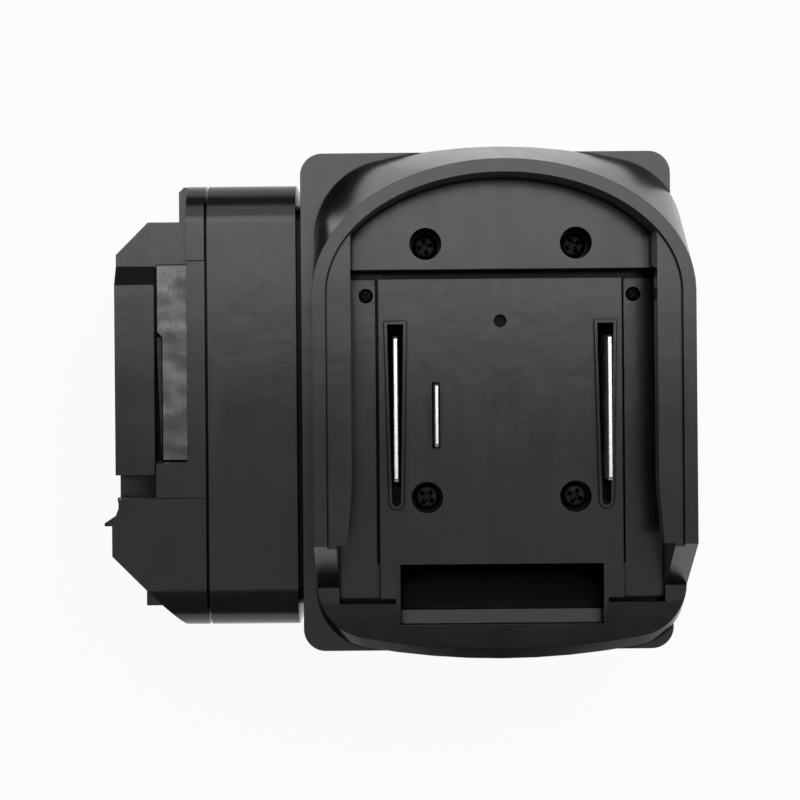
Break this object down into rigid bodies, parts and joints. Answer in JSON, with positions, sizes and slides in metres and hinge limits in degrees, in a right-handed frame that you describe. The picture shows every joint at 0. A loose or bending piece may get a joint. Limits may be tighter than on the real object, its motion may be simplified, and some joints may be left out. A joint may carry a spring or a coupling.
{
  "type": "tool battery adapter",
  "caption": "L-shaped slide-on adapter: a horseshoe battery socket with contact blades on the front and a railed tower with a sprung thumb latch on its side.",
  "frame": {"origin": "on the flat back face, behind the middle of the battery socket", "axes": "+Z out of the socket, +Y along the socket towards its arch, +X away from the tool tower"},
  "size_m": [0.1258, 0.1074, 0.088],
  "materials": {
    "housing_plastic": "satin moulded black",
    "latch_plastic": "matte moulded black",
    "insulator_plastic": "matte moulded black",
    "strip_steel": "worn bright",
    "spring_steel": "drawn wire",
    "bracket_steel": "zinc plated",
    "screw_steel": "black oxide",
    "blade_nickel": "nickel plated",
    "board_laminate": "solder mask",
    "lead_red": "smooth insulation",
    "lead_black": "smooth insulation",
    "lead_yellow": "smooth insulation"
  },
  "bodies": {
    "housing": {"body_shell": "housing_plastic", "tool_cover": "housing_plastic", "socket_frame": "housing_plastic", "blade_carrier": "insulator_plastic", "rail_strips": "strip_steel", "latch_springs": "spring_steel", "latch_bracket": "bracket_steel", "bracket_screws": "screw_steel", "frame_screws": "screw_steel", "carrier_screws": "screw_steel", "board_screws": "screw_steel", "cover_screws": "screw_steel", "power_blade_left": "blade_nickel", "power_blade_right": "blade_nickel", "signal_blade": "blade_nickel", "power_contact_left": "blade_nickel", "power_contact_right": "blade_nickel", "signal_contacts": "blade_nickel", "contact_board": "board_laminate", "left_lead": "lead_red", "right_lead": "lead_black", "signal_lead": "lead_yellow"},
    "latch": {"latch": "latch_plastic"}
  },
  "joints": [
    {"name": "latch_slide", "type": "slide", "parent": "housing", "child": "latch", "axis": [1, 0, 0], "range_m": [0, 0.005], "stiffness_N_per_m": 1200, "springref_m": -0.005, "deforming": ["latch_springs"]}
  ]
}
